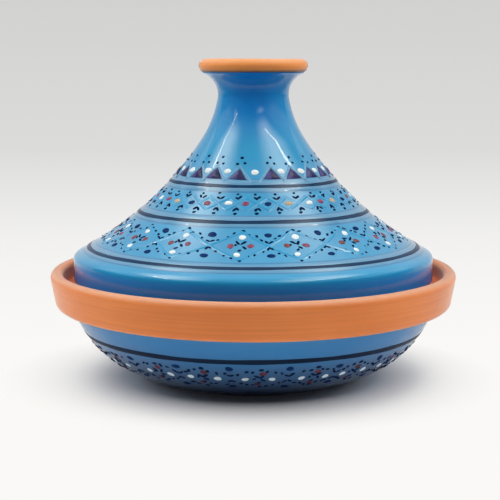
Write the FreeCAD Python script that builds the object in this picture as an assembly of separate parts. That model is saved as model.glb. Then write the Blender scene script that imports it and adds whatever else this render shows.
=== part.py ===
import FreeCAD, Part
import math
import os

# A lidded earthenware cooking pot: a shallow round dish with a bare clay collar, and a lid
# drawn up from a rounded shoulder into a slim neck and a flared cup that serves as its knob.
# Dish and lid are each one fired clay body under a glaze coat with painted lines.
# Millimetres, +Z up, the pot's axis on Z, its foot standing on Z = 0.

# Dish, clay
dish_height = 77.0          # from the foot to the top of the collar
collar_radius = 141.2       # outside, at the top, before its edge is rounded
collar_flare = 4.4          # how far the collar leans out from its lower edge to its top
collar_height = 24.8
collar_wall = 8.9
collar_crest_share = 0.46   # rounding of the collar's top edges, as a share of its wall
collar_foot_round = 5.0
collar_overhang = 11.3      # how far the collar's lower edge stands out past the bowl
bowl_bulge = 11.7           # how far the bowl's side swells out past its straight chord
foot_radius = 62.0
foot_height = 2.6
foot_width = 10.0
foot_recess = 1.5           # hollow of the underside inside the foot ring
foot_round = 0.8
dish_floor = 9.0            # thickness of the dish's bottom
ledge_depth = 10.0          # from the top of the collar down to the ledge that carries the lid
ledge_edge_round = 2.5
ledge_corner_round = 2.0
inner_wall_straight = 4.0   # upright stretch of the inside wall, just under the ledge

# Lid, clay
lid_gap = 7.7               # clear ring between the collar's top edge and the glazed lid
lid_wall = 6.5
seat_spare = 2.5            # how far the ledge reaches in past the lid's rim
rim_round = 1.2
lid_side_height = 15.9      # upright side, from the seat to the shoulder
shoulder_round = 6.8
cone_foot_slope = 27.4      # degrees above the horizontal where the cone leaves the shoulder
neck_radius = 23.7          # slimmest place
neck_height = 129.8         # from the seat to the slimmest place
neck_sweep = 74.3           # radius of the hollow curve that runs up into the neck
neck_turn = 10.0            # degrees from upright where that curve hands over to the flare
knob_rise = 24.0            # from the slimmest place to the top of the lip
lip_radius = 37.4
lip_round = 4.7             # half the thickness of the knob's wall
cup_well = 9.0              # how far the knob's cup goes on below the slimmest place
cup_corner_round = 5.0
knob_floor = 8.0            # clay between the cup and the hollow of the lid
cavity_dome = 8.0           # rise of the domed top of the lid's hollow

# Coats
glaze = 0.4
paint = 0.15
coat_clearance = 0.3        # room left between a coat and the curved face that it lies on
bowl_coat_drop = 0.2        # how far the dish's outer glaze ends below the top of the foot ring
bare_rim = 4.0              # bare clay at the lid's lower edge
bare_ledge = 2.0            # bare clay between the dish's inner glaze and the ledge's rounding
dish_line_drop = 40.7       # from the top of the collar to the middle of the dish's line
dish_line_rise = 3.4        # height of that line, measured upright
# Painted lines round the lid: height of the middle above the seat, height of the line itself
lid_lines = {
    "lower": (26.4, 1.8),
    "middle": (50.6, 2.1),
    "upper": (71.5, 1.8),
}

# Places that follow from the sizes
collar_bottom = dish_height - collar_height
collar_foot_radius = collar_radius - collar_flare
collar_crest_round = collar_crest_share * collar_wall
collar_inner_radius = collar_radius - collar_wall
bowl_top_radius = collar_foot_radius - collar_overhang
seat = dish_height - ledge_depth
ledge_outer_radius = collar_inner_radius - ledge_depth * collar_flare / collar_height
glaze_face = coat_clearance + glaze
line_bed = glaze_face + coat_clearance
lid_radius = collar_inner_radius - lid_gap - glaze_face
rim_inner_radius = lid_radius - lid_wall
ledge_inner_radius = rim_inner_radius - seat_spare
floor_top = foot_recess + dish_floor
inner_round = seat - floor_top - ledge_edge_round - inner_wall_straight
shoulder_height = seat + lid_side_height
neck_level = seat + neck_height
lip_level = neck_level + knob_rise - lip_round
knob_wall = 2 * lip_round
cup_radius = neck_radius - knob_wall
cup_floor = neck_level - cup_well
cavity_top = cup_floor - knob_floor
cavity_shoulder = cavity_top - cavity_dome


def spot(radius, height):
    """A point of an outline, in the half plane through the pot's axis."""
    return FreeCAD.Vector(radius, 0, height)


def line(start, end):
    return Part.LineSegment(start, end).toShape()


# A bend is a stretch of outline that is an arc: (centre radius, centre height, reach).
# Where the outline faces the angle a above the horizontal, its point lies at the centre plus
# reach times (cos a, sin a). A swell has a positive reach and a hollow a negative one, so a
# coat of thickness t lies on the same bend with its reach raised by t.

def on_bend(bend, facing, lift=0.0):
    """The point of a bend that faces this angle, raised off the surface by lift."""
    radius, height, reach = bend
    return spot(radius + (reach + lift) * math.cos(facing), height + (reach + lift) * math.sin(facing))


def facing_at_height(bend, height, lift=0.0):
    """The angle that a bend faces where it passes a height."""
    return math.asin((height - bend[1]) / (bend[2] + lift))


def facing_at_radius(bend, radius, lift=0.0):
    """The angle that a bend faces where it passes a distance from the axis."""
    return math.acos((radius - bend[0]) / (bend[2] + lift))


def bend_edge(bend, start, end, lift=0.0):
    middle = (start + end) / 2
    points = [on_bend(bend, facing, lift) for facing in (start, middle, end)]
    return Part.Arc(*points).toShape()


def rounded(corners):
    """Edges of a run of straight lines through (radius, height, rounding) corners."""
    places = [spot(radius, height) for radius, height, rounding in corners]
    edges = []
    start = places[0]
    for index in range(1, len(corners) - 1):
        corner = places[index]
        rounding = corners[index][2]
        arriving = (corner - places[index - 1]).normalize()
        leaving = (places[index + 1] - corner).normalize()
        half_turn = arriving.getAngle(leaving) / 2
        tangent = rounding * math.tan(half_turn)
        edges.append(line(start, corner - arriving * tangent))
        if rounding:
            inward = (leaving - arriving).normalize()
            crown = corner + inward * (rounding / math.cos(half_turn) - rounding)
            edges.append(Part.Arc(corner - arriving * tangent, crown, corner + leaving * tangent).toShape())
        start = corner + leaving * tangent
    edges.append(line(start, places[-1]))
    return edges


def turned(edges):
    """The solid that a closed outline sweeps in one turn about the pot's axis."""
    outline = Part.Wire(Part.sortEdges(edges)[0])
    solid = Part.Face(outline).revolve(FreeCAD.Vector(0, 0, 0), FreeCAD.Vector(0, 0, 1), 360)
    return Part.Solid(solid)


def layer(bend, low, high, under, over):
    """A thin ring that lies on a bend between two heights, from lift under to lift over."""
    corners = {}
    edges = []
    for lift in (under, over):
        start = facing_at_height(bend, low, lift)
        end = facing_at_height(bend, high, lift)
        edges.append(bend_edge(bend, start, end, lift))
        corners[lift] = (on_bend(bend, start, lift), on_bend(bend, end, lift))
    for inner, outer in zip(corners[under], corners[over]):
        edges.append(line(inner, outer))
    return turned(edges)


# Bend of the dish

def bowl_side():
    """The bowl's swelling side, an arc from the foot ring up to the collar's underside."""
    across = bowl_top_radius - foot_radius
    up = collar_bottom - foot_height
    chord = math.hypot(across, up)
    radius = chord ** 2 / (8 * bowl_bulge) + bowl_bulge / 2
    inset = (radius - bowl_bulge) / chord
    centre_radius = (foot_radius + bowl_top_radius) / 2 - inset * up
    centre_height = (foot_height + collar_bottom) / 2 + inset * across
    return centre_radius, centre_height, radius


# Bends of the lid, each meeting the next smoothly

def lid_shoulder():
    return lid_radius - shoulder_round, shoulder_height, shoulder_round


def lid_lip():
    return lip_radius - lip_round, lip_level, lip_round


def lid_flare():
    """The tight hollow curve round the slimmest place and out to the lip."""
    across = neck_radius - (lip_radius - lip_round)
    up = neck_level - lip_level
    sweep = (across ** 2 + up ** 2 - lip_round ** 2) / (2 * (lip_round - across))
    return neck_radius + sweep, neck_level, -sweep


def lid_neck():
    """The wider hollow curve that runs up into the flare, just below the slimmest place."""
    flare_radius, flare_height, flare_reach = lid_flare()
    offset = neck_sweep + flare_reach
    centre_radius = flare_radius + offset * math.cos(neck_turn_facing)
    centre_height = flare_height + offset * math.sin(neck_turn_facing)
    return centre_radius, centre_height, -neck_sweep


def lid_cone():
    """The long hollow curve that leaves the shoulder at its slope and runs on into the neck."""
    neck_centre_radius, neck_centre_height, neck_reach = lid_neck()
    start = on_bend(lid_shoulder(), cone_foot_facing)
    across = start.x - neck_centre_radius
    up = start.z - neck_centre_height
    along_facing = across * math.cos(cone_foot_facing) + up * math.sin(cone_foot_facing)
    sweep = (neck_sweep ** 2 - across ** 2 - up ** 2) / (2 * (along_facing + neck_sweep))
    centre_radius = start.x + sweep * math.cos(cone_foot_facing)
    centre_height = start.z + sweep * math.sin(cone_foot_facing)
    return centre_radius, centre_height, -sweep


def facing_between(first, second):
    """The angle faced at the place where two bends meet smoothly."""
    return math.atan2(first[1] - second[1], first[0] - second[0])


cone_foot_facing = math.radians(90 - cone_foot_slope)
neck_turn_facing = math.radians(neck_turn)
neck_foot_facing = facing_between(lid_cone(), lid_neck())
lip_foot_facing = facing_between(lid_flare(), lid_lip())


def lid_skin(lift):
    """Outline of the lid's outside from the top of its upright side to the lip."""
    return [
        bend_edge(lid_shoulder(), 0, cone_foot_facing, lift),
        bend_edge(lid_cone(), cone_foot_facing, neck_foot_facing, lift),
        bend_edge(lid_neck(), neck_foot_facing, neck_turn_facing, lift),
        bend_edge(lid_flare(), neck_turn_facing, lip_foot_facing, lift),
    ]


def dish_body():
    """Foot ring, bowl, collar, the ledge inside the collar, and the inside of the dish."""
    bowl = bowl_side()
    foot = rounded([
        (0, foot_recess, 0),
        (foot_radius - foot_width, foot_recess, foot_round),
        (foot_radius - foot_width, 0, foot_round),
        (foot_radius, 0, foot_round),
        (foot_radius, foot_height, 0),
    ])
    side = bend_edge(bowl, facing_at_height(bowl, foot_height), facing_at_height(bowl, collar_bottom))
    collar_and_inside = rounded([
        (bowl_top_radius, collar_bottom, 0),
        (collar_foot_radius, collar_bottom, collar_foot_round),
        (collar_radius, dish_height, collar_crest_round),
        (collar_inner_radius, dish_height, collar_crest_round),
        (ledge_outer_radius, seat, ledge_corner_round),
        (ledge_inner_radius, seat, ledge_edge_round),
        (ledge_inner_radius, floor_top, inner_round),
        (0, floor_top, 0),
    ])
    axis = line(spot(0, floor_top), spot(0, foot_recess))
    return turned(foot + [side] + collar_and_inside + [axis])


def dish_outer_glaze():
    return layer(bowl_side(), foot_height - bowl_coat_drop, collar_bottom, coat_clearance, glaze_face)


def dish_inner_glaze():
    """Coat on the dish's floor and inside wall, ending just below the ledge."""
    coat_top = seat - ledge_edge_round - bare_ledge
    edges = []
    for lift in (coat_clearance, glaze_face):
        edges += rounded([
            (0, floor_top + lift, 0),
            (ledge_inner_radius - lift, floor_top + lift, inner_round - lift),
            (ledge_inner_radius - lift, coat_top, 0),
        ])
    top = line(
        spot(ledge_inner_radius - coat_clearance, coat_top),
        spot(ledge_inner_radius - glaze_face, coat_top),
    )
    axis = line(spot(0, floor_top + coat_clearance), spot(0, floor_top + glaze_face))
    return turned(edges + [top, axis])


def painted_line(bend, middle, rise):
    """A painted line on a glazed bend, with its middle at this height."""
    return layer(bend, middle - rise / 2, middle + rise / 2, line_bed, line_bed + paint)


def dish_line():
    return painted_line(bowl_side(), dish_height - dish_line_drop, dish_line_rise)


def lid_body():
    """Rim, shoulder, cone, neck and lip, the cup in the knob, and the hollow underneath."""
    cone = lid_cone()
    flare = lid_flare()
    hollow_foot = facing_at_radius(cone, rim_inner_radius, -lid_wall)
    hollow_head = facing_at_height(cone, cavity_shoulder, -lid_wall)
    hollow_foot_height = on_bend(cone, hollow_foot, -lid_wall).z
    dome_radius = on_bend(cone, hollow_head, -lid_wall).x
    dome_reach = (dome_radius ** 2 + cavity_dome ** 2) / (2 * cavity_dome)
    dome = (0, cavity_top - dome_reach, dome_reach)
    rim = rounded([
        (rim_inner_radius, hollow_foot_height, 0),
        (rim_inner_radius, seat, rim_round),
        (lid_radius, seat, rim_round),
        (lid_radius, shoulder_height, 0),
    ])
    lip = bend_edge(lid_lip(), lip_foot_facing, lip_foot_facing + math.pi)
    cup_flare = bend_edge(flare, lip_foot_facing, 0, -knob_wall)
    cup = rounded([
        (cup_radius, neck_level, 0),
        (cup_radius, cup_floor, cup_corner_round),
        (0, cup_floor, 0),
    ])
    axis = line(spot(0, cup_floor), spot(0, cavity_top))
    hollow = [
        bend_edge(dome, math.pi / 2, facing_at_height(dome, cavity_shoulder)),
        bend_edge(cone, hollow_head, hollow_foot, -lid_wall),
    ]
    return turned(rim + lid_skin(0) + [lip, cup_flare] + cup + [axis] + hollow)


def lid_outer_glaze():
    """Coat from just above the rim, over shoulder, cone and neck, to the underside of the lip."""
    coat_foot = seat + bare_rim
    edges = []
    for lift in (coat_clearance, glaze_face):
        side = line(spot(lid_radius + lift, coat_foot), spot(lid_radius + lift, shoulder_height))
        edges += [side] + lid_skin(lift)
    foot = line(spot(lid_radius + coat_clearance, coat_foot), spot(lid_radius + glaze_face, coat_foot))
    head = line(
        on_bend(lid_flare(), lip_foot_facing, coat_clearance),
        on_bend(lid_flare(), lip_foot_facing, glaze_face),
    )
    return turned(edges + [foot, head])


def lid_line(middle, rise):
    return painted_line(lid_cone(), seat + middle, rise)


pieces = {
    "dish_body": dish_body(),
    "dish_outer_glaze": dish_outer_glaze(),
    "dish_inner_glaze": dish_inner_glaze(),
    "dish_line": dish_line(),
    "lid_body": lid_body(),
    "lid_outer_glaze": lid_outer_glaze(),
}
for place, (middle, rise) in lid_lines.items():
    pieces["lid_line_" + place] = lid_line(middle, rise)

os.makedirs("parts", exist_ok=True)
for name, shape in pieces.items():
    shape.exportStep("parts/" + name + ".step")
    print(name, "valid" if shape.isValid() else "NOT VALID", "volume", round(shape.Volume, 1))
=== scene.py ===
import bpy
import numpy as np
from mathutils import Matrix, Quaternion, Vector


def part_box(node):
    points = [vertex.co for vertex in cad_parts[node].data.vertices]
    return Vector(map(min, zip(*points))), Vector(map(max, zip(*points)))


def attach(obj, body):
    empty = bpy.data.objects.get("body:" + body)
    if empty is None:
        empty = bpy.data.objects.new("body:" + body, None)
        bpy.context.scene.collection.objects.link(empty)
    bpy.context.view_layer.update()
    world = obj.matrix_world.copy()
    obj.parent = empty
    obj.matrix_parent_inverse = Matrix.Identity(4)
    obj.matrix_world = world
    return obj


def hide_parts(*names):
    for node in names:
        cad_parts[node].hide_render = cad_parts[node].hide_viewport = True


# The looks of a lidded earthenware cooking pot: bare clay, blue glaze, dark painted lines and
# rows of enamel dots. Metres, +Z up, the pot's axis on Z. Turns are measured about that axis
# from the front, which looks along -Y, and grow towards +X.

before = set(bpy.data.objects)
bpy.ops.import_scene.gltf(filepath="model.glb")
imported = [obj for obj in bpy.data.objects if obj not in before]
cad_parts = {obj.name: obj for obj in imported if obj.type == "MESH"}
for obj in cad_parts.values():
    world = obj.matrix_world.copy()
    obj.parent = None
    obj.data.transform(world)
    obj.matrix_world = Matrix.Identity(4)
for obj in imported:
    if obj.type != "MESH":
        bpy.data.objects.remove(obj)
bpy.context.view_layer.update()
mm = 0.001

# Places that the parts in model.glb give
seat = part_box("lid_body")[0].z
lip_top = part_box("lid_body")[1].z
lid_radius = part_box("lid_body")[1].x
glaze_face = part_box("lid_outer_glaze")[1].x - lid_radius
lid_coat_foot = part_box("lid_outer_glaze")[0].z
collar_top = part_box("dish_body")[1].z
collar_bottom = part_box("dish_outer_glaze")[1].z
bowl_coat_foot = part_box("dish_outer_glaze")[0].z
floor_coat_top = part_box("dish_inner_glaze")[1].z

# Dish, as in the solid
collar_radius = 141.2 * mm
collar_flare = 4.4 * mm
collar_wall = 8.9 * mm
collar_crest_round = 4.1 * mm
collar_foot_round = 5.0 * mm
collar_overhang = 11.3 * mm
bowl_bulge = 11.7 * mm
foot_radius = 62.0 * mm
foot_height = 2.6 * mm
foot_width = 10.0 * mm
foot_recess = 1.5 * mm
foot_round = 0.8 * mm
floor_top = 10.5 * mm
inner_round = 50.0 * mm
ledge_edge_round = 2.5 * mm
ledge_corner_round = 2.0 * mm
seat_spare = 2.5 * mm

# Lid, as in the solid
lid_wall = 6.5 * mm
rim_round = 1.2 * mm
shoulder_rise = 15.9 * mm
shoulder_round = 6.8 * mm
cone_foot_facing = np.radians(62.6)
neck_radius = 23.7 * mm
neck_rise = 129.8 * mm
neck_sweep = 74.3 * mm
neck_turn_facing = np.radians(10.0)
lip_radius = 37.4 * mm
lip_round = 4.7 * mm
cup_well = 9.0 * mm
cup_corner_round = 5.0 * mm
knob_floor = 8.0 * mm
cavity_dome = 8.0 * mm

# Skin of the coats
coat_edge = 0.5 * mm        # rounding where a coat runs out on the clay
coat_root = 0.25 * mm       # how far a coat reaches into the clay below it
line_stand = 0.12 * mm      # how far a painted line stands up from the glaze
line_band = 5.0 * mm        # half the width of the low swelling that carries a line
line_band_lift = 0.35 * mm  # how far the middle of that swelling lies above its line
line_band_rise = 0.5 * mm
line_groove = 0.2 * mm
shoulder_bead = 0.5 * mm    # how far the glaze stands out on the lid's shoulder
bead_rise = 19.6 * mm       # height of that bead above the seat
bead_half_width = 2.0 * mm
enamel_root = 0.12 * mm     # how far an enamel mark reaches into the glaze

rim_inner_radius = lid_radius - lid_wall
ledge_inner_radius = rim_inner_radius - seat_spare
collar_inner_radius = collar_radius - collar_wall
cup_floor = seat + neck_rise - cup_well
around = 240                # steps in one turn of a turned piece
hand = np.random.default_rng(11)


# Outlines: runs of (radius, height) points in the half plane through the pot's axis

def straight(start, end, spacing):
    """Points from start to end, evenly spaced."""
    count = max(2, int(np.ceil(np.linalg.norm(np.subtract(end, start)) / spacing)) + 1)
    return np.linspace(start, end, count)


def on_bend(bend, facing, lift=0.0):
    """Points of an arc: its centre plus reach times (cos, sin) of the angle that the skin faces."""
    radius, height, reach = bend
    reach = reach + lift
    return np.stack([radius + reach * np.cos(facing), height + reach * np.sin(facing)], -1)


def facing_at(bend, height, lift=0.0):
    return np.arcsin((height - bend[1]) / (bend[2] + lift))


def arc(bend, start, end, spacing, lift=0.0):
    """Points of an arc between two facings, evenly spaced along it."""
    count = max(3, int(np.ceil(abs((end - start) * (bend[2] + lift)) / spacing)) + 1)
    return on_bend(bend, np.linspace(start, end, count), lift)


def unit(direction):
    return direction / np.linalg.norm(direction)


def rounded(corners, spacing):
    """Straight runs through (radius, height, rounding) corners, each corner an arc that meets both."""
    places = np.array([corner[:2] for corner in corners])
    runs = []
    start = places[0]
    for before, corner, after, (_, _, rounding) in zip(places, places[1:], places[2:], corners[1:]):
        arriving = unit(corner - before)
        leaving = unit(after - corner)
        half_turn = np.arccos(arriving @ leaving) / 2
        tangent = rounding * np.tan(half_turn)
        runs.append(straight(start, corner - arriving * tangent, spacing))
        if rounding:
            inward = unit(leaving - arriving)
            along = unit(leaving + arriving)
            steps = max(5, int(np.ceil(2 * half_turn * rounding / spacing)) + 1)
            swing = np.linspace(-half_turn, half_turn, steps)[:, None]
            centre = corner + inward * rounding / np.cos(half_turn)
            runs.append(centre + rounding * (np.sin(swing) * along - np.cos(swing) * inward))
        start = corner + leaving * tangent
    runs.append(straight(start, places[-1], spacing))
    return joined(runs)


def joined(runs):
    """One outline from runs that start where the last one ended, with no point twice."""
    points = np.concatenate(runs)
    apart = np.linalg.norm(np.diff(points, axis=0), axis=1) > 0.01 * mm
    return points[np.concatenate([[True], apart])]


# Bends of the pot: (centre radius, centre height, reach), reach negative in a hollow

def bowl_side():
    """The bowl's side: the arc on a chord from the foot to the collar, swelling past it by the bulge."""
    bowl_top_radius = collar_radius - collar_flare - collar_overhang
    across = bowl_top_radius - foot_radius
    up = collar_bottom - foot_height
    chord = np.hypot(across, up)
    radius = chord ** 2 / (8 * bowl_bulge) + bowl_bulge / 2
    inset = (radius - bowl_bulge) / chord
    return (
        (foot_radius + bowl_top_radius) / 2 - inset * up,
        (foot_height + collar_bottom) / 2 + inset * across,
        radius,
    )


def lid_bends():
    """Shoulder, cone, neck, flare and lip, each arc tangent to the next."""
    shoulder = (lid_radius - shoulder_round, seat + shoulder_rise, shoulder_round)
    lip = (lip_radius - lip_round, lip_top - lip_round, lip_round)
    across = neck_radius - lip[0]
    up = seat + neck_rise - lip[1]
    flare_sweep = (across ** 2 + up ** 2 - lip_round ** 2) / (2 * (lip_round - across))
    flare = (neck_radius + flare_sweep, seat + neck_rise, -flare_sweep)
    step = neck_sweep - flare_sweep
    neck = (
        flare[0] + step * np.cos(neck_turn_facing),
        flare[1] + step * np.sin(neck_turn_facing),
        -neck_sweep,
    )
    start = on_bend(shoulder, cone_foot_facing)
    away = start - neck[:2]
    facing = np.array([np.cos(cone_foot_facing), np.sin(cone_foot_facing)])
    cone_sweep = (neck_sweep ** 2 - away @ away) / (2 * (away @ facing + neck_sweep))
    cone = (*(start + cone_sweep * facing), -cone_sweep)
    return shoulder, cone, neck, flare, lip


def facing_between(first, second):
    return np.arctan2(first[1] - second[1], first[0] - second[0])


bowl = bowl_side()
shoulder, cone, neck, flare, lip = lid_bends()
neck_foot_facing = facing_between(cone, neck)
lip_foot_facing = facing_between(flare, lip)


def smooth_step(value, start, end):
    """0 at start, 1 at end, and an even S curve between them."""
    share = np.clip((value - start) / (end - start), 0, 1)
    return share * share * (3 - 2 * share)


# Relief that the hand and the wheel leave, as a rise off the true outline

def wheel_wobble(turn, height):
    """Slow swell round the pot, two and three times a turn, that drifts with height."""
    twice = 0.09 * mm * np.sin(2 * turn + 0.6 + 14 * height)
    thrice = 0.05 * mm * np.sin(3 * turn + 2.2 - 23 * height)
    return twice + thrice


def throwing_rings(turn, travel, pitch, depth):
    """A shallow spiral left by the fingers: one ring for each pitch travelled along the outline."""
    return depth * np.sin(2 * np.pi * travel / pitch + turn)


def line_offset(height, middle):
    """How far up the cone's skin a height lies from the middle of a line."""
    return (height - middle) / np.cos(facing_at(cone, middle))


def line_swelling(height, middle):
    """A low band with a creased edge and a groove along its middle, which holds a painted line."""
    offset = line_offset(height, middle)
    band = line_band_rise * np.clip(1 - ((offset - line_band_lift) / line_band) ** 2, 0, None)
    return band - line_groove * np.exp(-(offset / (0.35 * line_band)) ** 4)


lid_line_nodes = ("lid_line_lower", "lid_line_middle", "lid_line_upper")
lid_line_heights = [(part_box(node)[0].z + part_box(node)[1].z) / 2 for node in lid_line_nodes]


def lid_glaze_relief(turn, height):
    """Wheel wobble, the swelling under each line, and a bead of glaze that squares the shoulder."""
    swellings = sum(line_swelling(height, middle) for middle in lid_line_heights)
    bead = shoulder_bead * np.exp(-((height - seat - bead_rise) / bead_half_width) ** 2)
    return wheel_wobble(turn, height) + swellings + bead


# The ground that lines and marks lie on: its bend, its relief and its body
dish_ground = (bowl, wheel_wobble, "dish")
lid_ground = (cone, lid_glaze_relief, "lid")


# Meshes

def full_turn(count):
    """This many turns, evenly spaced once round the pot."""
    return np.linspace(0, 2 * np.pi, count, endpoint=False)


def place(radius, height, turn):
    """A point of the pot: radius sin turn, minus radius cos turn, height."""
    return np.stack([radius * np.sin(turn), -radius * np.cos(turn), height + 0 * turn], -1)


def on_glaze(bend, relief, faced, turns, stand):
    """Points that stand this far off the glaze of a bend, at these facings and turns."""
    lift = glaze_face + relief(turns, on_bend(bend, faced, glaze_face)[..., 1]) + stand
    radius, height = np.moveaxis(on_bend(bend, faced, lift), -1, 0)
    return place(radius, height, turns + 0 * radius)


def added(name, data):
    """A new object in the scene, with this mesh, light or camera."""
    thing = bpy.data.objects.new(name, data)
    bpy.context.scene.collection.objects.link(thing)
    return thing


def mesh_object(name, vertices, faces, material):
    """A smooth mesh object in its place."""
    mesh = bpy.data.meshes.new(name)
    mesh.from_pydata(vertices.reshape(-1, 3).tolist(), [], faces)
    mesh.polygons.foreach_set("use_smooth", np.ones(len(mesh.polygons), bool))
    mesh.materials.append(material)
    mesh.validate()
    return added(name, mesh)


def mesh_piece(name, vertices, faces, material, body):
    """A mesh object that rides on a body."""
    piece = mesh_object(name, vertices, faces, material)
    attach(piece, body)
    return piece


def shade_by(piece, name, values):
    """A number for each point of a piece, for its material to read."""
    attribute = piece.data.attributes.new(name, "FLOAT", "POINT")
    attribute.data.foreach_set("value", np.ascontiguousarray(values, np.float32).ravel())


def shade_rings(piece, outline, **shades):
    """Shades of a turned piece, each a number for every point of its outline, or one for them all."""
    counts = np.full(len(outline), around)
    counts[np.abs(outline[:, 0]) < 1e-9] = 1
    for name, values in shades.items():
        shade_by(piece, name, np.repeat(np.broadcast_to(values, len(outline)), counts))


def grid_faces(index, closed):
    """Faces of a grid that wraps round its columns, with a triangle where a row is one point."""
    lower = index if closed else index[:-1]
    upper = np.roll(index, -1, axis=0) if closed else index[1:]
    quads = np.stack([lower, np.roll(lower, -1, 1), np.roll(upper, -1, 1), upper], -1).reshape(-1, 4)
    foot = quads[:, 0] == quads[:, 1]
    head = quads[:, 2] == quads[:, 3]
    whole = quads[~(foot | head)].tolist()
    return whole + quads[foot][:, [0, 2, 3]].tolist() + quads[head][:, [0, 1, 2]].tolist()


def outward(outline, closed):
    """Directions square to an outline, on its right hand as it runs up the outside."""
    if closed:
        along = np.roll(outline, -1, axis=0) - np.roll(outline, 1, axis=0)
    else:
        along = np.gradient(outline, axis=0)
    along /= np.linalg.norm(along, axis=1, keepdims=True)
    return np.stack([along[:, 1], -along[:, 0]], -1)


def turned(name, outline, relief, material, body, closed=False):
    """Surface of revolution: each outline point, raised by relief(turn, travel, height) square to the
    outline, carried round the axis. An open outline starts and ends on the axis, at one point each."""
    turns = full_turn(around)[None]
    travel = np.concatenate([[0], np.cumsum(np.linalg.norm(np.diff(outline, axis=0), axis=1))])[:, None]
    rise = relief(turns, travel, outline[:, 1:2])
    square = outward(outline, closed)
    radius = outline[:, :1] + square[:, :1] * rise
    height = outline[:, 1:2] + square[:, 1:2] * rise
    points = place(radius, height, turns).reshape(-1, 3)
    index = np.arange(len(points)).reshape(len(outline), around)
    if not closed:
        index[[0, -1]] = index[[0, -1], :1]
        points[index[[0, -1], 0], :2] = 0
    used, renumbered = np.unique(index, return_inverse=True)
    faces = grid_faces(renumbered.reshape(index.shape), closed)
    return mesh_piece(name, points[used], faces, material, body)


# Finishes

def feed(value, socket):
    """Links another node's output to a socket, or sets a plain number or colour on it."""
    if isinstance(value, bpy.types.NodeSocket):
        socket.id_data.links.new(value, socket)
    elif socket.type == "RGBA":
        socket.default_value = (*value, 1.0)
    else:
        socket.default_value = value


def put(beside, kind, values=None, **settings):
    """Outputs of a new shader node, in the tree of another node or socket, with its settings and inputs."""
    node = beside.id_data.nodes.new("ShaderNode" + kind)
    for key, value in settings.items():
        setattr(node, key, value)
    for socket, value in (values or {}).items():
        feed(value, node.inputs[socket])
    return node.outputs


def finish(name, **sockets):
    """A new material, its shader with plain values set, and its own coordinates."""
    material = bpy.data.materials.new(name)
    material.use_nodes = True
    shader = material.node_tree.nodes["Principled BSDF"]
    for socket, value in sockets.items():
        shader.inputs[socket.replace("_", " ")].default_value = value
    return material, shader, put(shader, "TexCoord")["Object"]


def dressed(shader, colour, roughness, height, distance, strength):
    """Feeds a shader its colour, its roughness, and a bump from a pattern of heights."""
    bump = put(shader, "Bump", {"Height": height, "Distance": distance, "Strength": strength})
    feed(colour, shader.inputs["Base Color"])
    feed(roughness, shader.inputs["Roughness"])
    feed(bump["Normal"], shader.inputs["Normal"])


def grain(where, scale, detail=3.0, stretch=None):
    """Soft noise, with this many grains a metre, stretched along an axis if asked."""
    if stretch:
        where = put(where, "Mapping", {"Vector": where, "Scale": stretch})["Vector"]
    return put(where, "TexNoise", {"Vector": where, "Scale": scale, "Detail": detail})["Fac"]


def specks(where, scale, size):
    """1 inside small round specks and 0 between them."""
    cells = put(where, "TexVoronoi", {"Vector": where, "Scale": scale})
    return spread(cells["Distance"], size, 0.6 * size)


def spread(value, low, high, least=0.0):
    """A value carried from its low end to the least, which is mostly 0, and from its high end to 1."""
    ends = {"From Min": low, "From Max": high, "To Min": least}
    return put(value, "MapRange", {"Value": value, **ends})["Result"]


def tint(share, first, second):
    """The first colour where share is 0, the second where it is 1."""
    return put(share, "Mix", {"Factor": share, 6: first, 7: second}, data_type="RGBA")[2]


def reckoned(operation, *values):
    return put(values[0], "Math", dict(enumerate(values)), operation=operation)["Value"]


def larger(first, second):
    return reckoned("MAXIMUM", first, second)


def product(first, second):
    return reckoned("MULTIPLY", first, second)


def read_shade(beside, name):
    return put(beside, "Attribute", attribute_name=name)["Fac"]


def shaded(colour, **shades):
    """A colour carried towards others, each as far as the piece's own shade of that name says."""
    for name, other in shades.items():
        colour = tint(read_shade(colour, name), colour, other)
    return colour


def terracotta():
    """Fired clay: cloudy patches, faint turning streaks and fine pale grains. Edges are paler, from wear
    and as a painted highlight, and the lip is golden from handling. Painted shade darkens the collar's
    inner wall, which is also rougher, and blackens the foot and the fold under the lip."""
    material, shader, where = finish(
        "terracotta", Specular_IOR_Level=0.3, Sheen_Weight=0.55, Sheen_Roughness=0.35
    )
    clouds = spread(grain(where, 18.0), 0.3, 0.7)
    colour = tint(clouds, (0.86, 0.229, 0.0495), (0.92, 0.272, 0.068))
    streaks = spread(grain(where, 1.0, 2.0, (9.0, 9.0, 620.0)), 0.45, 0.85)
    colour = tint(streaks, colour, (0.775, 0.207, 0.0475))
    # Pale edges are wear and a painted highlight; the dark inside wall, foot and fold under the lip are
    # painted shade.
    colour = shaded(
        colour,
        rubbed=(0.485, 0.345, 0.263),
        golden=(0.80, 0.34, 0.080),
        stained=(0.48, 0.080, 0.014),
        smoked=(0.014, 0.010, 0.010),
    )
    colour = tint(specks(where, 900.0, 0.16), colour, (0.80, 0.33, 0.15))
    uneven = spread(grain(where, 260.0), -0.8, 1.7)
    roughness = larger(uneven, read_shade(where, "stained"))
    dressed(shader, colour, roughness, grain(where, 1500.0, 4.0), 0.06 * mm, 0.5)
    return material


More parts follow.
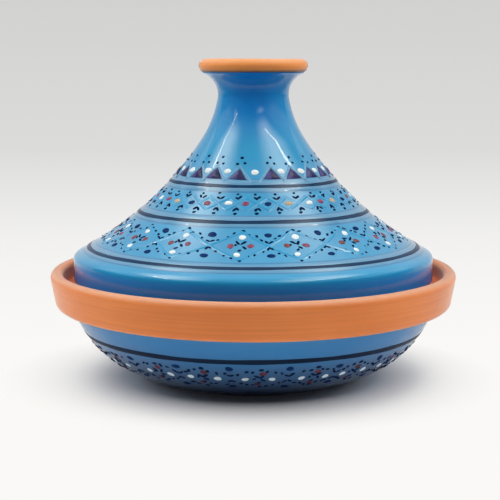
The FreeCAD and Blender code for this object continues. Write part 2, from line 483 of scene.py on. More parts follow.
def blue_glaze():
    """Glossy blue coat: slow mottle and pin specks, paler where it runs thin over a swelling. Painted shade
    makes it a deeper blue, partly also where the glaze pools, greyer beside each swelling and down the
    bowl, and nearly black round the foot."""
    material, shader, where = finish(
        "blue_glaze", Specular_IOR_Level=0.1, Coat_Weight=1.0, Coat_Roughness=0.045, Coat_IOR=1.45
    )
    mottle = spread(grain(where, 30.0), 0.3, 0.7)
    colour = tint(mottle, (0.013, 0.258, 0.515), (0.016, 0.292, 0.570))
    # Painted shade: deeper blue, greyer, and nearly black round the foot; some of the deeper blue is
    # pooling.
    colour = shaded(
        colour,
        pooled_glaze=(0.001, 0.150, 0.600),
        thin_glaze=(0.165, 0.270, 0.410),
        crease=(0.042, 0.117, 0.256),
        foot_wash=(0.001, 0.008, 0.034),
    )
    colour = tint(specks(where, 420.0, 0.05), colour, (0.006, 0.10, 0.27))
    roughness = spread(grain(where, 55.0), -0.9, 2.4)
    dressed(shader, colour, roughness, grain(where, 210.0, 2.0), 0.05 * mm, 0.4)
    return material


def honey_glaze():
    """Clear coat over the clay inside the dish: warm brown, darker where it pools, with dark specks."""
    material, shader, where = finish("honey_glaze", Coat_Weight=1.0, Coat_Roughness=0.06)
    thin = spread(grain(where, 26.0), 0.3, 0.7)
    colour = tint(thin, (0.30, 0.085, 0.02), (0.42, 0.14, 0.04))
    colour = tint(specks(where, 500.0, 0.09), colour, (0.12, 0.035, 0.01))
    roughness = spread(grain(where, 60.0), -0.9, 2.4)
    dressed(shader, colour, roughness, grain(where, 230.0, 2.0), 0.05 * mm, 0.4)
    return material


def line_paint(name, deep, pale, gloss):
    """Dark blue paint with the streaks of a brush held against the turning pot."""
    material, shader, where = finish(
        name, Specular_IOR_Level=0.0, Coat_Weight=gloss, Coat_Roughness=0.08, Coat_IOR=1.42
    )
    brushed = spread(grain(where, 1.0, 3.0, (22.0, 22.0, 900.0)), 0.35, 0.75)
    roughness = spread(grain(where, 120.0), -0.8, 2.0)
    dressed(shader, tint(brushed, deep, pale), roughness, brushed, 0.03 * mm, 0.5)
    return material


def enamel(name, deep, pale, gloss, other=None):
    """Raised enamel: uneven, thinner at its edge, where the blue below comes through, and with another
    colour, if one is given, in some dabs. A triangle's left side is paler as a painted highlight, and marks
    on the dish are darker as painted shade where they reach low round its foot."""
    material, shader, where = finish(
        name, Specular_IOR_Level=0.0, Coat_Weight=gloss, Coat_Roughness=0.12, Coat_IOR=1.38
    )
    blue_below = (0.01, 0.30, 0.60)
    colour = tint(spread(grain(where, 340.0), 0.3, 0.7), deep, pale)
    if other:
        colour = tint(spread(grain(where, 45.0), 0.42, 0.60), colour, other)
    paler = tuple(2.6 * part for part in pale)
    # A paler left side is a painted highlight; darker marks low on the dish are painted shade.
    colour = shaded(colour, left_side=paler, foot_wash=(0.004, 0.010, 0.030))
    thick = spread(read_shade(where, "enamel_body"), 0.0, 0.18)
    edge = tuple(0.7 * own + 0.3 * below for own, below in zip(deep, blue_below))
    roughness = spread(grain(where, 150.0), -0.8, 2.0)
    bumps = grain(where, 800.0, 2.0)
    dressed(shader, tint(thick, edge, colour), roughness, bumps, 0.04 * mm, 0.5)
    return material


clay = terracotta()
blue = blue_glaze()
honey = honey_glaze()
# The dish's line paint is a darker copy of the lid's, as painted shade under the collar.
line_paints = {
    "lid": line_paint("lid_line_paint", (0.001, 0.023, 0.072), (0.003, 0.043, 0.120), 0.55),
    "dish": line_paint("dish_line_paint", (0.001, 0.009, 0.032), (0.002, 0.020, 0.058), 0.35),
}
# On the dish the white is a brighter, glossier copy, as painted light against the bowl's shade, and the red
# a darker copy, as painted shade.
enamel_looks = {
    "white": ((0.67, 0.755, 0.795), (0.72, 0.805, 0.845), 0.35),
    "bright_white": ((0.76, 0.91, 1.0), (0.80, 0.94, 1.0), 1.0),
    "red": ((0.19, 0.034, 0.095), (0.29, 0.070, 0.150), 0.6, (0.16, 0.050, 0.048)),
    "dull_red": ((0.12, 0.026, 0.044), (0.19, 0.050, 0.075), 0.5, (0.10, 0.036, 0.036)),
    "ochre": ((0.42, 0.30, 0.17), (0.54, 0.41, 0.26), 0.6),
    "navy": ((0.002, 0.020, 0.10), (0.006, 0.038, 0.15), 0.12),
    "violet": ((0.020, 0.020, 0.070), (0.046, 0.042, 0.125), 0.35),
    "ink": ((0.002, 0.009, 0.042), (0.004, 0.017, 0.068), 0.0),
}
enamels = {colour: enamel(colour + "_enamel", *look) for colour, look in enamel_looks.items()}


# Dish

def dish_clay():
    """Foot ring, bowl, collar with its ledge, and the inside, from axis to axis."""
    collar_slant = (collar_top - seat) * collar_flare / (collar_top - collar_bottom)
    foot = rounded([
        (0, foot_recess, 0),
        (foot_radius - foot_width, foot_recess, foot_round),
        (foot_radius - foot_width, 0, foot_round),
        (foot_radius, 0, foot_round),
        (foot_radius, foot_height, 0),
    ], 2.5 * mm)
    side = arc(bowl, facing_at(bowl, foot_height), facing_at(bowl, collar_bottom), 2 * mm)
    upper = rounded([
        (collar_radius - collar_flare - collar_overhang, collar_bottom, 0),
        (collar_radius - collar_flare, collar_bottom, collar_foot_round),
        (collar_radius, collar_top, collar_crest_round),
        (collar_inner_radius, collar_top, collar_crest_round),
        (collar_inner_radius - collar_slant, seat, ledge_corner_round),
        (ledge_inner_radius, seat, ledge_edge_round),
        (ledge_inner_radius, floor_top, inner_round),
        (0, floor_top, 0),
    ], 0.8 * mm)

    def relief(turn, travel, height):
        off_seat = np.clip(np.abs(height - seat) / (3 * mm), 0, 1) * np.clip(height / (8 * mm), 0, 1)
        return off_seat * (wheel_wobble(turn, height) + throwing_rings(turn, travel, 3.1 * mm, 0.012 * mm))

    outline = joined([foot, side, upper])
    piece = turned("dish_clay", outline, relief, clay, "dish")
    shade_dish_clay(piece, outline)
    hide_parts("dish_body")


def shade_dish_clay(piece, outline):
    """Paler on the collar's crest, most on its outer half, from wear and as a painted highlight, and
    painted shade on the inner wall behind it and at the foot.
    """
    radius, height = outline.T
    crest_depth = 3.5 * mm
    on_crest = np.clip((height - (collar_top - crest_depth)) / crest_depth, 0, 1)
    outer_half = smooth_step(radius, collar_inner_radius, collar_radius - 0.3 * collar_wall)
    behind_crest = smooth_step(height, collar_top - 1.5 * mm, collar_top - 5 * mm)
    inside = (radius < collar_inner_radius + 0.5 * mm) & (height > floor_top - 1 * mm)
    inside &= np.arange(len(outline)) > np.argmax(height)
    # Painted highlight on the crest; painted shade inside the collar and at the foot.
    shade_rings(
        piece,
        outline,
        rubbed=(0.16 + 0.52 * outer_half) * on_crest,
        stained=0.8 * inside * behind_crest,
        smoked=0.9 * smooth_step(height, 6 * mm, 3 * mm),
    )


def coat(outer):
    """Closed outline of a coat: its outer skin, its ends rounded down onto the clay, and its root in the
    clay, which is hidden and so keeps one point in four."""
    inner = outer - outward(outer, False) * (glaze_face + coat_root)
    share = np.linspace(0, 1, 6)[:, None]
    bulge = coat_edge * np.sqrt(np.clip(1 - (1 - share) ** 2, 0, None))
    bulge = bulge * np.sqrt(np.clip(1 - share ** 6, 0, None))
    ends = []
    for end, beside in ((-1, -2), (0, 1)):
        along = unit(outer[end] - outer[beside])
        ends.append(outer[end] + (inner[end] - outer[end]) * share + along * bulge)
    head, foot = ends
    return joined([outer, head, inner[-5:4:-4], foot[::-1]])[:-1]


def blue_coat(name, outer, relief, body):
    """A coat of blue glaze with this outer skin, raised by relief(turn, height), and its outline."""
    outline = coat(outer)

    def raised(turn, travel, height):
        return relief(turn, height)

    piece = turned(name, outline, raised, blue, body, closed=True)
    return piece, outline


def dish_blue_glaze():
    """The coat on the bowl under the collar, in painted shade: a deeper blue, greyer downwards, and nearly
    black round the foot.
    """
    foot = facing_at(bowl, bowl_coat_foot, glaze_face)
    head = facing_at(bowl, collar_bottom, glaze_face)
    outer = arc(bowl, foot, head, 0.6 * mm, glaze_face)
    piece, outline = blue_coat("dish_blue_glaze", outer, wheel_wobble, "dish")
    height = outline[:, 1]
    # Painted shade over the whole bowl, greyer downwards and nearly black at the foot.
    shade_rings(
        piece,
        outline,
        pooled_glaze=0.44,
        crease=0.85 * smooth_step(height, 46 * mm, 24 * mm),
        foot_wash=0.95 * smooth_step(height, 30 * mm, 6 * mm),
    )
    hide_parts("dish_outer_glaze")


def dish_honey_glaze():
    """The clear coat inside the dish: its skin, its edge run out on the wall, and its root in the clay."""
    skin = ledge_inner_radius - glaze_face
    root = ledge_inner_radius + coat_root
    edge = floor_coat_top + coat_edge
    outer = rounded([
        (0, floor_top + glaze_face, 0),
        (skin, floor_top + glaze_face, inner_round - glaze_face),
        (skin, floor_coat_top, 0),
    ], 1.6 * mm)
    run_out = rounded([
        (skin, floor_coat_top, 0),
        (ledge_inner_radius - 0.5 * glaze_face, edge, 0.3 * mm),
        (root, edge, 0),
    ], 0.2 * mm)
    under = rounded([
        (root, edge, 0),
        (root, floor_top - coat_root, inner_round + coat_root),
        (0, floor_top - coat_root, 0),
    ], 3 * mm)
    outline = joined([outer, run_out, under])[::-1]

    def relief(turn, travel, height):
        off_floor = np.clip((height - floor_top) / (10 * mm), 0, 1)
        return off_floor * wheel_wobble(turn, height)

    piece = turned("dish_honey_glaze", outline, relief, honey, "dish")
    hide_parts("dish_inner_glaze")


# Painted lines

def painted_line(name, node, bend, relief, body, fill=1.0, slip=0.0):
    """A brushed line: across its width it rises off the glaze and falls again, its edges waver with the
    turn, and a sunk underside closes it. fill is its width as a share of the solid line's, and slip how
    far the brush ran below the middle."""
    low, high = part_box(node)
    middle = (low.z + high.z) / 2
    facing = facing_at(bend, middle, glaze_face)
    half_width = fill * (high.z - low.z) / 2 / np.cos(facing)
    turns = full_turn(2 * around)[None]
    across = np.array([-1.0, -0.96, -0.7, -0.25, 0.25, 0.7, 0.96, 1.0])[:, None]
    stand = np.array([-1.0, 0.35, 0.9, 1.0, 1.0, 0.9, 0.35, -1.0])[:, None] * line_stand
    waver = 1 + 0.07 * np.sin(9 * turns + middle * 900) + 0.05 * np.sin(23 * turns + 1.3)
    drift = 0.18 * mm * np.sin(2 * turns + middle * 700) + 0.08 * mm * np.sin(7 * turns)
    faced = facing + (across * half_width * waver + drift - slip) / bend[2]
    points = on_glaze(bend, relief, faced, turns, stand)
    faces = grid_faces(np.arange(faced.size).reshape(faced.shape), True)
    piece = mesh_piece(name, points, faces, line_paints[body], body)
    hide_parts(node)


# Lid

def lid_skin(lift, spacing):
    """The outside from the top of the upright side to the lip: shoulder, cone, neck and flare."""
    return joined([
        arc(shoulder, 0, cone_foot_facing, spacing, lift),
        arc(cone, cone_foot_facing, neck_foot_facing, spacing, lift),
        arc(neck, neck_foot_facing, neck_turn_facing, spacing, lift),
        arc(flare, neck_turn_facing, lip_foot_facing, spacing, lift),
    ])


def lid_hollow():
    """Runs of the hollow under the lid: a dome from the axis outward, then the wall down to the rim."""
    cavity_top = cup_floor - knob_floor
    hollow_foot = np.arccos((rim_inner_radius - cone[0]) / (cone[2] - lid_wall))
    hollow_head = facing_at(cone, cavity_top - cavity_dome, -lid_wall)
    dome_radius = on_bend(cone, hollow_head, -lid_wall)[0]
    dome_reach = (dome_radius ** 2 + cavity_dome ** 2) / (2 * cavity_dome)
    dome = (0, cavity_top - dome_reach, dome_reach)
    dome_foot = facing_at(dome, cavity_top - cavity_dome)
    return [
        arc(dome, np.pi / 2, dome_foot, 1.5 * mm),
        arc(cone, hollow_head, hollow_foot, 1.1 * mm, -lid_wall),
    ]


def lid_knob():
    """Runs of the lip and of the cup in the knob, in to the middle of its floor."""
    cup_radius = neck_radius - 2 * lip_round
    return [
        arc(lip, lip_foot_facing, lip_foot_facing + np.pi, 0.45 * mm),
        arc(flare, lip_foot_facing, 0, 0.8 * mm, -2 * lip_round),
        rounded([
            (cup_radius, seat + neck_rise, 0),
            (cup_radius, cup_floor, cup_corner_round),
            (0, cup_floor, 0),
        ], 1 * mm),
    ]


def lid_clay():
    """Hollow, rim, outside, lip and cup, from the top of the hollow round to the floor of the cup."""
    hollow = lid_hollow()
    ringed_length = 120 * mm
    rim = rounded([
        (rim_inner_radius, hollow[-1][-1, 1], 0),
        (rim_inner_radius, seat, rim_round),
        (lid_radius, seat, rim_round),
        (lid_radius, seat + shoulder_rise, 0),
    ], 1.1 * mm)
    outline = joined(hollow + [rim, lid_skin(0, 3 * mm)] + lid_knob())

    def relief(turn, travel, height):
        off_seat = np.clip((height - seat) / (6 * mm), 0, 1)
        rings = np.where(travel < ringed_length, throwing_rings(turn, travel, 7.5 * mm, 0.16 * mm), 0)
        fine = throwing_rings(turn, travel, 2.3 * mm, 0.02 * mm)
        return off_seat * (wheel_wobble(turn, height) + rings + fine)

    piece = turned("lid_clay", outline, relief, clay, "lid")
    shade_lid_clay(piece, outline)
    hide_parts("lid_body")


def shade_lid_clay(piece, outline):
    """Paler at the top of the lip, from wear and as a painted highlight, golden all round it, and painted
    shade in the fold below it.
    """
    height = outline[:, 1]
    lip_depth = 4 * mm
    knob_foot = lip_top - 3 * lip_round
    under_lip = smooth_step(height, lip_top - 1.55 * lip_round, lip_top - 1.85 * lip_round)
    # Painted highlight on the lip's top; painted shade in the fold under it.
    shade_rings(
        piece,
        outline,
        rubbed=0.7 * np.clip((height - (lip_top - lip_depth)) / lip_depth, 0, 1),
        golden=0.4 * smooth_step(height, knob_foot, lip_top - 2 * lip_round),
        smoked=0.7 * under_lip * (height > knob_foot),
    )


def lid_blue_glaze():
    """The coat on the lid: thin over each line's swelling and a little on the cone, greyer as painted shade
    beside a swelling, and deeper blue on the upright side and in the neck, as pooling and painted shade, in
    the neck mostly in front and behind."""
    wall = lid_radius + glaze_face
    side = straight((wall, lid_coat_foot), (wall, seat + shoulder_rise), 0.9 * mm)
    outer = joined([side, lid_skin(glaze_face, 0.62 * mm)])
    piece, outline = blue_coat("lid_blue_glaze", outer, lid_glaze_relief, "lid")
    height = outline[:, 1]
    above = height - seat
    offsets = [np.abs(line_offset(height, middle) - line_band_lift) for middle in lid_line_heights]
    nearest = np.min(offsets, axis=0) / line_band
    on_cone = smooth_step(above, 20 * mm, 26 * mm) * smooth_step(above, 90 * mm, 78 * mm)
    # The grey beside each swelling is painted shade.
    shade_rings(
        piece,
        outline,
        thin_glaze=np.maximum(0.12 * on_cone, 0.55 * np.clip(4 - 4 * nearest, 0, 1)),
        crease=0.8 * np.exp(-((nearest - 1) / 0.09) ** 2),
    )
    # Painted shade, with some pooling: the upright side in the collar's shade, and the neck under the lip,
    # darkest in front and behind.
    in_neck = smooth_step(above, 92 * mm, 124 * mm)
    on_side = smooth_step(above, 20 * mm, 15 * mm)
    run_down = 0.06 + 0.60 * np.cos(full_turn(around)) ** 2
    shade_by(piece, "pooled_glaze", np.outer(in_neck, run_down) + 0.68 * on_side[:, None])
    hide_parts("lid_outer_glaze")


# Enamel marks: rows of turn, across, up, half length, half width and tilt, laid on a bend

def round_outline(swing, count):
    """Outline of a dabbed dot: a circle with a little lobing that differs from dot to dot."""
    first, second = hand.uniform(0, 2 * np.pi, (2, count, 1))
    return 1 + 0.06 * np.cos(2 * swing + first) + 0.045 * np.cos(3 * swing + second)


def triangle_outline(swing, count):
    """Outline of a triangle round its middle: a third of a turn to a side, corners slightly blunt."""
    sector = np.mod(swing - np.pi / 2 + np.pi / 3, 2 * np.pi / 3) - np.pi / 3
    side = np.mod(swing - np.pi / 2, 2 * np.pi / 3) - np.pi / 3
    blunt = 1 - 0.05 * np.exp(-(sector / 0.2) ** 2)
    return blunt * np.cos(np.pi / 3) / np.cos(side) + np.zeros((count, 1))


def mark_faces(count, rings, spokes):
    """Faces of so many marks: bands from ring to ring, a fan to the crown and a fan to the point below."""
    disc = np.arange(1, 1 + rings * spokes).reshape(rings, spokes)
    following = np.roll(disc, -1, axis=1)
    first = np.arange(count)[:, None, None] * (disc.size + 2)
    bands = np.stack([disc[:-1], disc[1:], following[1:], following[:-1]], -1).reshape(-1, 4)
    crown = np.stack([0 * disc[0], disc[0], following[0]], -1)
    below = np.stack([0 * disc[0] + disc.size + 1, following[-1], disc[-1]], -1)
    fans = np.concatenate([crown, below])
    return (first + bands).reshape(-1, 4).tolist() + (first + fans).reshape(-1, 3).tolist()


def enamel_marks(name, rows, level, bend, relief, body, colour, stand=0.42 * mm, outline=round_outline):
    """Raised marks: each is a disc of three rings, stretched, tilted and bent onto the glaze, highest in
    its middle, with its edge and its closed underside sunk in the glaze. level is the row's height. A
    round mark is a dome; a triangle is a pyramid, with a painted highlight on its left."""
    spokes = 12
    rings = np.array([0.5, 0.82, 1.0])
    swing = full_turn(spokes)
    count = len(rows)
    middle = np.ones((count, 1))
    reach = np.concatenate([middle, np.tile(outline(swing[None], count), len(rings)), middle], axis=1)
    radial = np.concatenate([[0], np.repeat(rings, spokes), [0]])
    angle = np.concatenate([[0], np.tile(swing, len(rings)), [0]])
    turn, across, up, length, width, tilt = rows.T[:, :, None]
    flat_x = radial * reach * np.cos(angle) * length
    flat_y = radial * reach * np.sin(angle) * width
    side = across + flat_x * np.cos(tilt) - flat_y * np.sin(tilt)
    rise = up + flat_x * np.sin(tilt) + flat_y * np.cos(tilt)
    faced = facing_at(bend, level, glaze_face) + rise / bend[2]
    turns = turn + side / on_bend(bend, faced, glaze_face)[..., 0]
    pyramid = outline is triangle_outline
    body_share = np.clip(1 - radial ** (1 if pyramid else 2), 0, 1) ** 0.7
    dome = stand * body_share - enamel_root * radial ** 8
    dome[-1] = -enamel_root
    points = on_glaze(bend, relief, faced, turns, dome)
    faces = mark_faces(count, len(rings), spokes)
    piece = mesh_piece(name, points, faces, enamels[colour], body)
    shade_by(piece, "enamel_body", np.tile(body_share, (count, 1)))
    # Painted shade on the dish's marks low on the bowl.
    if body == "dish":
        shade_by(piece, "foot_wash", 0.75 * smooth_step(points[..., 2], 22 * mm, 13 * mm))
    # Painted highlight on each triangle's left side.
    if pyramid:
        shade_by(piece, "left_side", np.where(flat_x < -0.02 * length, 0.55, 0.0))


def whole_row(front, count):
    """Turns of a row of marks: those at the front as painted, the rest spread evenly over the back."""
    front = np.radians(front)
    rest = count - len(front)
    gap = (2 * np.pi - front[-1] + front[0]) / (rest + 1)
    return np.concatenate([front, front[-1] + gap * np.arange(1, rest + 1)])


def between(turns):
    """Turns halfway from each mark of a row to the next."""
    following = np.concatenate([turns[1:], [turns[0] + 2 * np.pi]])
    return (turns + following) / 2


def repeated(turns, motif, slip=1.0):
    """Every mark of a motif (across, up, half length, half width in mm, tilt in degrees) at every turn."""
    motif = np.array(motif) * [mm, mm, mm, mm, np.pi / 180]
    rows = np.empty((len(turns), len(motif), 6))
    rows[..., 0] = np.asarray(turns)[:, None]
    rows[..., 1:] = motif
    return by_hand(rows.reshape(-1, 6), slip)


def by_hand(rows, slip=1.0):
    """Small slips of the painter's hand in place, size and tilt, more or less of them."""
    count = len(rows)
    rows[:, 1:3] += hand.normal(0, slip * 0.35 * mm, (count, 2))
    rows[:, 3:5] *= 1 + slip * hand.uniform(-0.12, 0.12, (count, 2))
    rows[:, 5] += hand.normal(0, slip * np.radians(9), count)
    return rows


def zigzag(turns, peak, valley, shares, half_size):
    """Short strokes down both sides of each flower: from a peak at its turn to a valley halfway to the
    next, each laid along its chain."""
    middles = between(turns)
    before = np.concatenate([[middles[-1] - 2 * np.pi], middles[:-1]])
    rows = []
    for middle, lean in ((middles, -1), (before, 1)):
        for share in shares:
            row = np.zeros((len(turns), 6))
            row[:, 0] = turns + share * (middle - turns)
            row[:, 2] = (peak + share * (valley - peak)) * mm
            row[:, 3:5] = 1.2 * half_size * mm, 0.8 * half_size * mm
            row[:, 5] = lean * np.sign(peak) * np.radians(38)
            rows.append(row)
    return by_hand(np.concatenate(rows), 2.2)


def flower_band(ground, level, turns, upright, sideways, colours, chain, bold):
    """A row of four-dab flowers with dark hearts, chains of strokes above and below that draw together
    between them, and navy dabs in the gaps. upright, sideways and chain are distances in mm, and bold
    is how many times their usual size the ink strokes have."""
    gaps = between(turns)
    half = 2.5
    slant = 1.3
    upright_petals = [(slant, upright, half, 2.2, 5), (-slant, -upright - 0.2, half, 2.1, 5)]
    sideways_petals = [(-sideways, 0, half + 0.1, 2.3, 0), (sideways, 0, half, 2.2, 0)]
    heart = [
        (-1.7, 2.7, 2.2, 0.95, -42),
        (2.1, 2.7, 2.5, 0.95, 48),
        (2.3, -1.4, 1.9, 0.9, -30),
        (-0.4, -4.3, 1.6, 0.9, 40),
        (-3.4, 0.7, 1.2, 0.9, 60),
    ]
    vee = [(-1.1, 3.9, 1.9, 0.8, -38), (1.2, 3.9, 1.9, 0.8, 34)]
    hat = [(-1.2, -2.9, 1.9, 0.8, 42), (1.1, -2.9, 1.8, 0.8, -36)]
    corners = [(0, 10.2, 3.0, 2.3, 0), (0, -9.8, 3.1, 2.0, 0)]
    dots = [(0.6, chain + 0.4, 1.5, 1.15, 0), (0, -chain - 0.2, 1.3, 1.0, 0)]
    ink = [
        repeated(turns, heart + dots),
        repeated(gaps, vee + hat),
        zigzag(turns, chain, 4.2, (0.26, 0.5, 0.74), 1.1),
        zigzag(turns, -chain, -3.6, (0.26, 0.49, 0.73), 1.05),
    ]
    ink = np.concatenate(ink)
    ink[:, 3:5] *= bold
    common = (level, *ground)
    body = ground[-1]
    enamel_marks(body + "_upright_petals", repeated(turns, upright_petals), *common, colours[0])
    enamel_marks(body + "_sideways_petals", repeated(turns, sideways_petals), *common, colours[1])
    enamel_marks(body + "_corner_dabs", repeated(gaps, corners), *common, "navy")
    enamel_marks(body + "_flower_ink", ink, *common, "ink", 0.4 * mm)


def glaze_ridge(name, corners, heights, level, paleness=0.0):
    """A low ridge of glaze on the lid's cone: a half-round profile carried round on straight runs from
    corner to corner, which are given as turns and as heights in mm above the level."""
    half_width, ridge_rise, ridge_root = 1.7 * mm, 0.42 * mm, 0.04 * mm
    steps = 14
    count = len(corners)
    along = np.arange(steps * count) / steps
    turns = np.interp(along, np.arange(count + 1), [*corners, corners[0] + 2 * np.pi])[None]
    up = np.interp(along, np.arange(count + 1), [*heights, heights[0]])[None] * mm
    across = np.array([-1.0, -0.8, -0.45, 0.0, 0.45, 0.8, 1.0])[:, None]
    stand = ridge_rise * np.cos(across * np.pi / 2) ** 2 - ridge_root
    faced = facing_at(cone, level, glaze_face) + (up + across * half_width) / cone[2]
    points = on_glaze(cone, lid_glaze_relief, faced, turns, stand)
    faces = grid_faces(np.arange(faced.size).reshape(faced.shape), True)
    piece = mesh_piece(name, points, faces, blue, "lid")
    shade_by(piece, "thin_glaze", np.full(faced.size, paleness))


def crossed_ridges(name, turns, reach, level):
    """Two ridges that pass above one mark and below the next, and cross between them."""
    heights = np.resize([reach, -reach], len(turns))
    for kind, side in (("_falling_ridge", 1), ("_rising_ridge", -1)):
        glaze_ridge(name + kind, turns, side * heights, level)


def lid_flowers():
    """Flowers round the lid's cone, with two low ridges that cross between them."""
    turns = whole_row((-72.4, -51.4, -29.4, -4.8, 16.3, 40.2, 61.3), 16)
    level = seat + 37.8 * mm
    colours = ("white", "red")
    flower_band(lid_ground, level, turns, 7.7, 6.5, colours, 13.3, 1.0)
    crossed_ridges("lid_flower", turns, 13.3, level)


def dish_flowers():
    """Flowers round the bowl."""
    turns = whole_row((-72.5, -54.0, -33.5, -17.0, 2.0, 20.6, 36.0, 54.0), 20)
    level = 23.0 * mm
    # A brightened white and a shaded red: lit and shaded copies of the lid's paints.
    colours = ("dull_red", "bright_white")
    flower_band(dish_ground, level, turns, 6.2, 8.3, colours, 9.6, 1.2)


def lid_dabs():
    """Row between the two upper lines: oval dabs in turning colours, with ticks and dots between them."""
    front = (-67.0, -56.5, -47.9, -37.0, -25.9, -14.1, -4.0, 8.1, 19.0, 32.6, 41.5, 51.2, 62.3, 72.2)
    turns = whole_row(front, 34)
    order = ("white", "red", "ochre", "navy", "red", "white", "red", "navy", "ochre")
    level = seat + 61.2 * mm
    common = (level, *lid_ground)
    colours = np.resize(order, len(turns))
    dab = [(0, 0, 2.7, 2.0, 4)]
    for colour in ("white", "red", "ochre", "navy"):
        rows = repeated(turns[colours == colour], dab)
        enamel_marks("lid_dabs_" + colour, rows, *common, colour)
    ticks = [
        (-1.1, 4.8, 1.7, 0.85, -46),
        (1.2, 5.0, 2.0, 0.9, 42),
        (-0.3, 7.6, 1.2, 0.9, 20),
        (-0.9, -4.6, 2.0, 1.0, 56),
        (1.0, -4.8, 1.9, 0.95, -52),
        (-0.7, -8.1, 1.5, 1.1, 20),
    ]
    enamel_marks("lid_dab_ticks", repeated(between(turns), ticks), *common, "ink", 0.34 * mm)
    crossed_ridges("lid_dab", turns, 5.2, level)


def lid_triangles():
    """Row above the top line: violet triangles, a white dab between each two, three dots over each tip."""
    turns = whole_row((-63.6, -45.6, -29.6, -11.0, 13.6, 30.4, 47.8, 63.6), 21)
    level = seat + 75.6 * mm
    common = (level, *lid_ground)
    triangles = repeated(turns, [(0, 3.0, 7.8, 6.5, 0)], 0.2)
    enamel_marks("lid_triangles", triangles, *common, "violet", 1.0 * mm, triangle_outline)
    gaps = between(turns)
    level_radius = on_bend(cone, facing_at(cone, level, glaze_face), glaze_face)[0]
    half_base = 9.0 * mm / level_radius
    corners = np.ravel(np.column_stack([turns - half_base, turns, turns + half_base]))
    heights = np.resize([-1.6, 10.6, -1.6], len(corners))
    glaze_ridge("lid_triangle_ridge", corners, heights, level, 0.5)
    enamel_marks("lid_triangle_dabs", repeated(gaps, [(0, 6.0, 2.9, 2.3, 0)]), *common, "white")
    dots = [(1.6, 17.2, 1.2, 1.1, 0), (-1.6, 12.8, 1.1, 1.0, 0), (3.6, 12.6, 1.1, 1.0, 0)]
    enamel_marks("lid_triangle_dots", repeated(turns, dots), *common, "ink", 0.3 * mm)


# Stage

room_white = (0.86, 0.855, 0.85)    # what the camera sees past the edges of the backdrop


def backdrop():
    """One pale sheet: a floor that sweeps up behind the pot in a quarter circle into a wall."""
    near_edge, far_edge, wall_top, sweep_round, half_width = -1.3, 1.15, 2.2, 0.45, 2.2
    side_view = rounded([(near_edge, 0, 0), (far_edge, 0, sweep_round), (far_edge, wall_top, 0)], 0.03)
    depth, height = side_view.T[:, :, None]
    width = np.linspace(-half_width, half_width, 9)[None]
    points = np.stack(np.broadcast_arrays(width, depth, height), -1)
    index = np.arange(depth.size * width.size).reshape(depth.size, width.size)
    faces = np.stack([index[:-1, :-1], index[:-1, 1:], index[1:, 1:], index[1:, :-1]], -1).reshape(-1, 4)
    sheet = mesh_object("backdrop", points, faces.tolist(), backdrop_paper())


def sheet_places(where):
    """A spot's X, Y and Z, its distance to either side, and its distance from the pot's middle, which
    counts a little less sideways."""
    parts = put(where, "SeparateXYZ", {"Vector": where})
    aside = reckoned("ABSOLUTE", parts["X"])
    oval = {"Vector": where, "Scale": (0.865, 1.0, 1.0), "Location": (0.002, 0.0, 0.0)}
    narrowed = put(where, "Mapping", oval)["Vector"]
    away = put(where, "VectorMath", {"Vector": narrowed}, operation="LENGTH")["Value"]
    return parts, aside, away


def sheet_colour(parts, aside, away, mirrored):
    """White paper, with painted shade where it lights and mirrors the pot: dark and cool on the outer
    floor, faintly cool close to the pot, which tints the pot's shadow, and cool where the glaze mirrors it
    from farther off."""
    # Painted shade and painted reflection: this colour shapes the floor's bounce light, the pot's shadow
    # and the glaze's reflections.
    outer = larger(spread(aside, 0.25, 0.55), spread(parts["Y"], -0.25, -0.55))
    paper = tint(outer, (0.88, 0.876, 0.868), (0.17, 0.24, 0.35))
    paper = tint(spread(away, 0.145, 0.078), paper, (0.80, 0.84, 0.91))
    far_mirrored = product(mirrored, spread(away, 0.2, 0.38, 0.15))
    return tint(far_mirrored, paper, (0.20, 0.32, 0.48))


def sheet_glow(parts, aside):
    """The plain look of the sheet: a white floor that fades to the room at its near and side edges, and
    at the back a grey that deepens upwards."""
    middle = [(0.28, (0.715, 0.71, 0.708))]
    back = ramp(spread(parts["Z"], 0.0, 0.34), room_white, (0.635, 0.633, 0.63), middle)
    edge = larger(spread(aside, 0.6, 1.6), spread(parts["Y"], -0.5, -1.2))
    floor = tint(edge, (0.953, 0.945, 0.93), room_white)
    colour = tint(spread(parts["Y"], 0.10, 0.85), floor, back)
    return put(colour, "Emission", {"Color": colour})["Emission"]


def backdrop_paper():
    """White paper. The camera sees it plain away from the pot and in its true shade close to the pot, with
    a faint painted glow in the core of that shadow, and the glaze mirrors it plain only towards the back.
    From behind and below it is clear."""
    material, shader, where = finish("backdrop_paper", Roughness=0.9, Specular_IOR_Level=0.0)
    parts, aside, away = sheet_places(where)
    ray = put(shader, "LightPath")
    mirrored = larger(ray["Is Glossy Ray"], ray["Is Transmission Ray"])
    feed(sheet_colour(parts, aside, away, mirrored), shader.inputs["Base Color"])
    # Even in the shadow under the pot the camera sees 0.006 of the plain glow: painted light that lifts the
    # shadow's core.
    plain = larger(
        product(ray["Is Camera Ray"], spread(away, 0.0765, 0.154, 0.006)),
        product(mirrored, spread(parts["Y"], 0.15, 0.6)),
    )
    front = mixed(plain, shader.outputs["BSDF"], sheet_glow(parts, aside))
    behind = put(shader, "NewGeometry")["Backfacing"]
    nothing = put(shader, "BsdfTransparent")["BSDF"]
    surface = material.node_tree.nodes["Material Output"].inputs["Surface"]
    feed(mixed(behind, front, nothing), surface)
    return material


def mixed(share, first, second):
    """The first shader where share is 0, the second where it is 1."""
    return put(share, "MixShader", {"Fac": share, 1: first, 2: second})["Shader"]


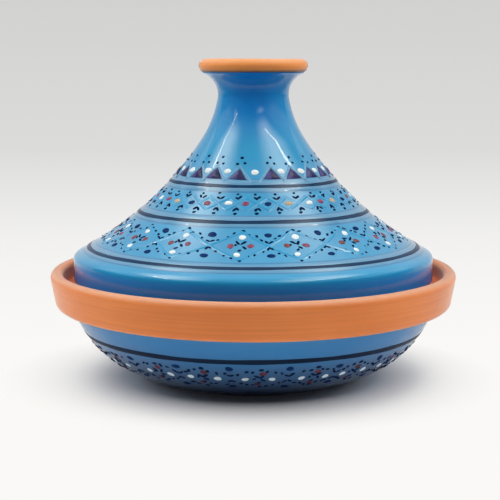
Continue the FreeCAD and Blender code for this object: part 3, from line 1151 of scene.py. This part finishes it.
def ramp(along, first, last, middle, interpolation="LINEAR"):
    """Colours along a value: the first at 0, the last at 1, and between them those at given positions."""
    colours = put(along, "ValToRGB", {"Fac": along})["Color"]
    bar = colours.node.color_ramp
    bar.interpolation = interpolation
    bar.elements[0].color = (*first, 1)
    bar.elements[1].color = (*last, 1)
    for position, colour in middle:
        bar.elements.new(position).color = (*colour, 1)
    return colours


def fading(along, edge):
    """1 over the middle of a lamp and falling softly to 0 over this share of its length at each end."""
    dark, full = (0, 0, 0), (1, 1, 1)
    return ramp(along, dark, dark, [(edge, full), (1 - edge, full)], "EASE")


def lamp(
    name, middle, width, depth, brightness, edges=None, swing=0.0, colour=(1, 1, 1), aim=None, mirrored=True
):
    """A flat lamp of this brightness, where 1 all over the sky lights a white sheet to white. edges are
    the shares of its width and depth over which it fades. swing is how far it is turned about the way it
    faces, in degrees. It faces straight down unless it is aimed, and mirrored lamps show in the glaze."""
    light = bpy.data.lights.new(name, "AREA")
    light.shape = "RECTANGLE"
    light.size, light.size_y = width, depth
    light.energy = np.pi * width * depth * brightness
    light.color = colour
    if edges:
        light.use_nodes = True
        emission = light.node_tree.nodes["Emission"]
        spot = put(emission, "NewGeometry")["Parametric"]
        parts = put(spot, "SeparateXYZ", {"Vector": spot})
        across = fading(parts["X"], edges[0])
        along = fading(parts["Y"], edges[1])
        feed(product(across, along), emission.inputs["Strength"])
    holder = added(name, light)
    holder.location = middle
    target = Vector(aim or (*middle[:2], 0.0))
    facing = (target - Vector(middle)).to_track_quat("-Z", "Y")
    holder.rotation_euler = (facing @ Quaternion((0, 0, 1), np.radians(swing))).to_euler()
    holder.visible_camera = False
    holder.visible_glossy = mirrored


def lamps():
    """A light tent: a dim ceiling, a soft panel along each side of it, two slanting tubes in a warm glow
    of their own, a soft light above the back, and cool side walls."""
    slant = -20.7
    warm = (1.0, 0.95, 0.78)
    cool = (0.93, 1.0, 1.07)
    lamp("ceiling", (0.0, -0.2, 0.85), 1.7, 1.7, 0.52, (0.3, 0.3))
    lamp("back_panel", (0.0, 0.12, 0.75), 0.9, 0.7, 0.5, (0.45, 0.45))
    lamp("left_panel", (-0.90, 0.10, 0.64), 0.95, 1.1, 0.80, (0.3, 0.25))
    lamp("right_panel", (0.90, -0.05, 0.64), 0.95, 1.5, 0.62, (0.3, 0.2))
    lamp("left_arm", (-0.62, -0.45, 0.62), 0.50, 0.24, 2.6, (0.5, 0.5), -slant, warm)
    lamp("left_glow", (-0.36, -0.08, 0.61), 0.48, 0.75, 6.4, (0.5, 0.4), 0.7 * slant, warm)
    lamp("right_glow", (0.275, -0.17, 0.61), 0.46, 0.90, 5.2, (0.5, 0.35), 0.4 * slant, warm)
    lamp("right_front_glow", (0.32, -0.71, 0.61), 0.46, 0.30, 2.8, (0.5, 0.5), 0.0, warm)
    lamp("left_tube", (-0.49, -0.23, 0.605), 0.013, 0.53, 16.0, None, slant, warm)
    lamp("right_tube", (0.317, -0.175, 0.605), 0.013, 0.375, 16.0, None, slant, warm)
    pot_middle = (0.0, 0.0, 0.2)
    for name, side in (("left_wall", -0.8), ("right_wall", 0.8)):
        lamp(name, (side, 0.0, 0.48), 1.4, 0.48, 1.9, (0.3, 0.3), 0.0, cool, pot_middle, False)


def room():
    """Beyond the lamps and the backdrop: dim and cool for the light, white where the camera looks past."""
    world = bpy.data.worlds.new("room")
    world.use_nodes = True
    background = world.node_tree.nodes["Background"]
    seen = put(background, "LightPath")["Is Camera Ray"]
    feed(tint(seen, (0.045, 0.06, 0.10), room_white), background.inputs["Color"])
    bpy.context.scene.world = world


def camera():
    """The view of the photograph: from the front, at about the height of the lip, looking slightly down."""
    distance, height, aside = 868.0 * mm, 215.5 * mm, -2.25 * mm
    downward = 8.32
    data = bpy.data.cameras.new("front_view")
    data.sensor_width = 36.0
    data.lens = 90.32
    holder = added("front_view", data)
    holder.location = (aside, -distance, height)
    holder.rotation_euler = (np.radians(90 - downward), 0, 0)
    bpy.context.scene.camera = holder


dish_clay()
dish_blue_glaze()
dish_honey_glaze()
painted_line("dish_painted_line", "dish_line", *dish_ground)
dish_flowers()
lid_clay()
lid_blue_glaze()
for node, fill in zip(lid_line_nodes, (0.85, 0.95, 1.08)):
    name = node.replace("lid_line", "lid_painted_line")
    painted_line(name, node, *lid_ground, fill, 0.3 * mm)
lid_flowers()
lid_dabs()
lid_triangles()
backdrop()
lamps()
room()
camera()
bpy.context.scene.view_settings.view_transform = "Standard"
